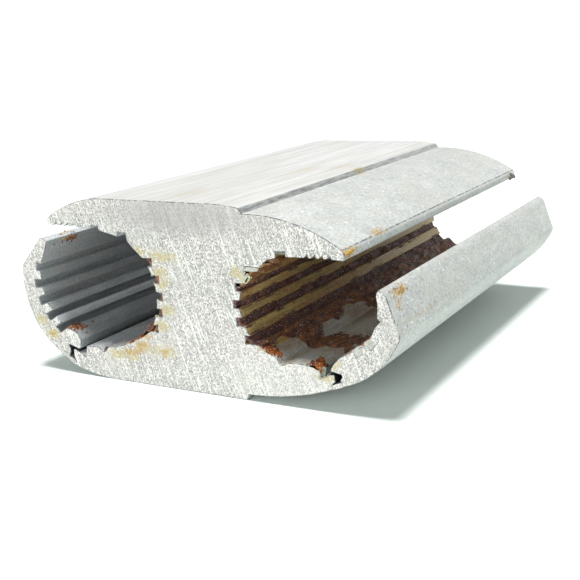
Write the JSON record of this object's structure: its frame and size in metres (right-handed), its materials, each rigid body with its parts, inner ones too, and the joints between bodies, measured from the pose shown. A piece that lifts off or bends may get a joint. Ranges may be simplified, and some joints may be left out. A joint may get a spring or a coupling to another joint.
{
  "type": "parallel-groove compression connector",
  "caption": "Extruded aluminium H-tap connector: ribbed wire grooves on either side of a core, fold-over jaws on thin webs, and brown inhibitor compound inside.",
  "frame": {"origin": "on the base flat, at the extrusion's overall mid-width and mid-length", "axes": "+Y along the extrusion, from the shown cut end to the far one; +X from the larger run groove towards the smaller tap groove; +Z from the base flat up to the roof"},
  "size_m": [0.0672, 0.076, 0.0292],
  "materials": {
    "cut_aluminium": "as extruded, with sawn ends, dulled and stained",
    "compound": "gritty red-brown inhibitor paste, half dried"
  },
  "bodies": {
    "core": {"core": "cut_aluminium", "left_web": "cut_aluminium", "right_web": "cut_aluminium", "left_wall_compound": "compound", "left_floor_compound": "compound", "right_wall_compound": "compound", "right_floor_compound": "compound"},
    "left_jaw": {"left_jaw": "cut_aluminium", "left_jaw_compound": "compound"},
    "right_jaw": {"right_jaw": "cut_aluminium", "right_jaw_compound": "compound"}
  },
  "joints": [
    {"name": "left_jaw_fold", "type": "hinge", "parent": "core", "child": "left_jaw", "pos_m": [-0.0247, 0, 0.0021], "axis": [0, 1, 0], "range_deg": [-14, 12]},
    {"name": "right_jaw_fold", "type": "hinge", "parent": "core", "child": "right_jaw", "pos_m": [0.024, 0, 0.00422], "axis": [0, -1, 0], "range_deg": [0, 20]}
  ]
}
